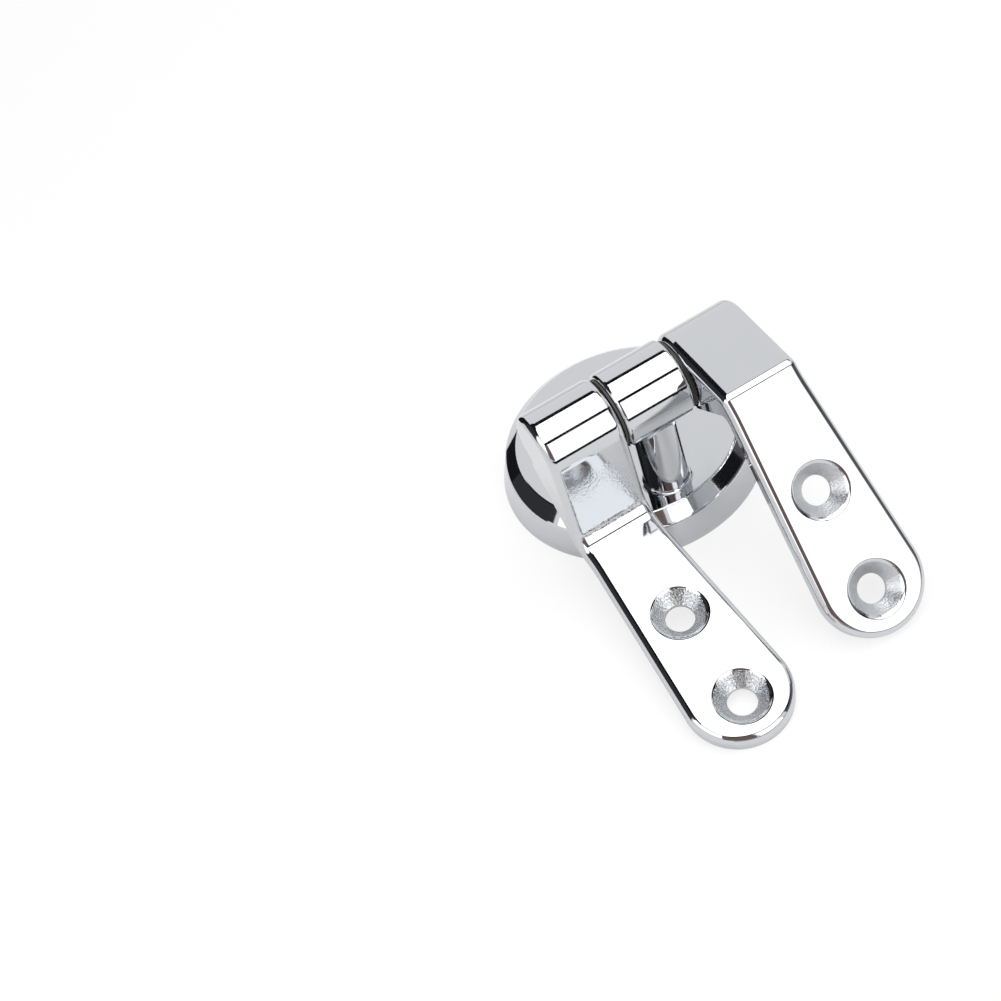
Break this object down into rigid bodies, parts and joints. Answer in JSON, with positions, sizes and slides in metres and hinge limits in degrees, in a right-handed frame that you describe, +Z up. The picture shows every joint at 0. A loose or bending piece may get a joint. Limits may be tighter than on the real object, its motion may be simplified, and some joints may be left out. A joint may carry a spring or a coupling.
{
  "type": "toilet seat hinge",
  "caption": "Chrome-plated toilet seat hinge: round base with a pillar and pin, and two cranked arms with countersunk screw holes for seat and lid.",
  "frame": {"origin": "middle of the base's underside, on the axis of the fixing bolt's threaded hole, on the pan's surface", "axes": "+Z up, pin axis along X, arms hanging towards -Y with their tips on the base's plane, lid arm at -X"},
  "size_m": [0.05, 0.0935, 0.0358],
  "materials": {
    "chrome_base": "mirror-polished chrome plate on zinc",
    "chrome_pillar": "mirror-polished chrome plate on zinc",
    "chrome_arm": "mirror-polished chrome plate on zinc",
    "steel": "bright drawn steel",
    "nylon": "moulded black nylon, matt"
  },
  "bodies": {
    "stand": {"base": "chrome_base", "pillar": "chrome_pillar", "pillar_screw": "steel", "hinge_pin": "steel"},
    "lid": {"lid_arm": "chrome_arm", "lid_bush": "nylon"},
    "seat": {"seat_arm": "chrome_arm", "seat_bush": "nylon"}
  },
  "joints": [
    {"name": "lid_swing", "type": "hinge", "parent": "stand", "child": "lid", "pos_m": [0, -0.0134, 0.0287], "axis": [-1, 0, 0], "range_deg": [0, 189.85]},
    {"name": "seat_swing", "type": "hinge", "parent": "stand", "child": "seat", "pos_m": [0, -0.0134, 0.0287], "axis": [-1, 0, 0], "range_deg": [0, 224.24]}
  ]
}
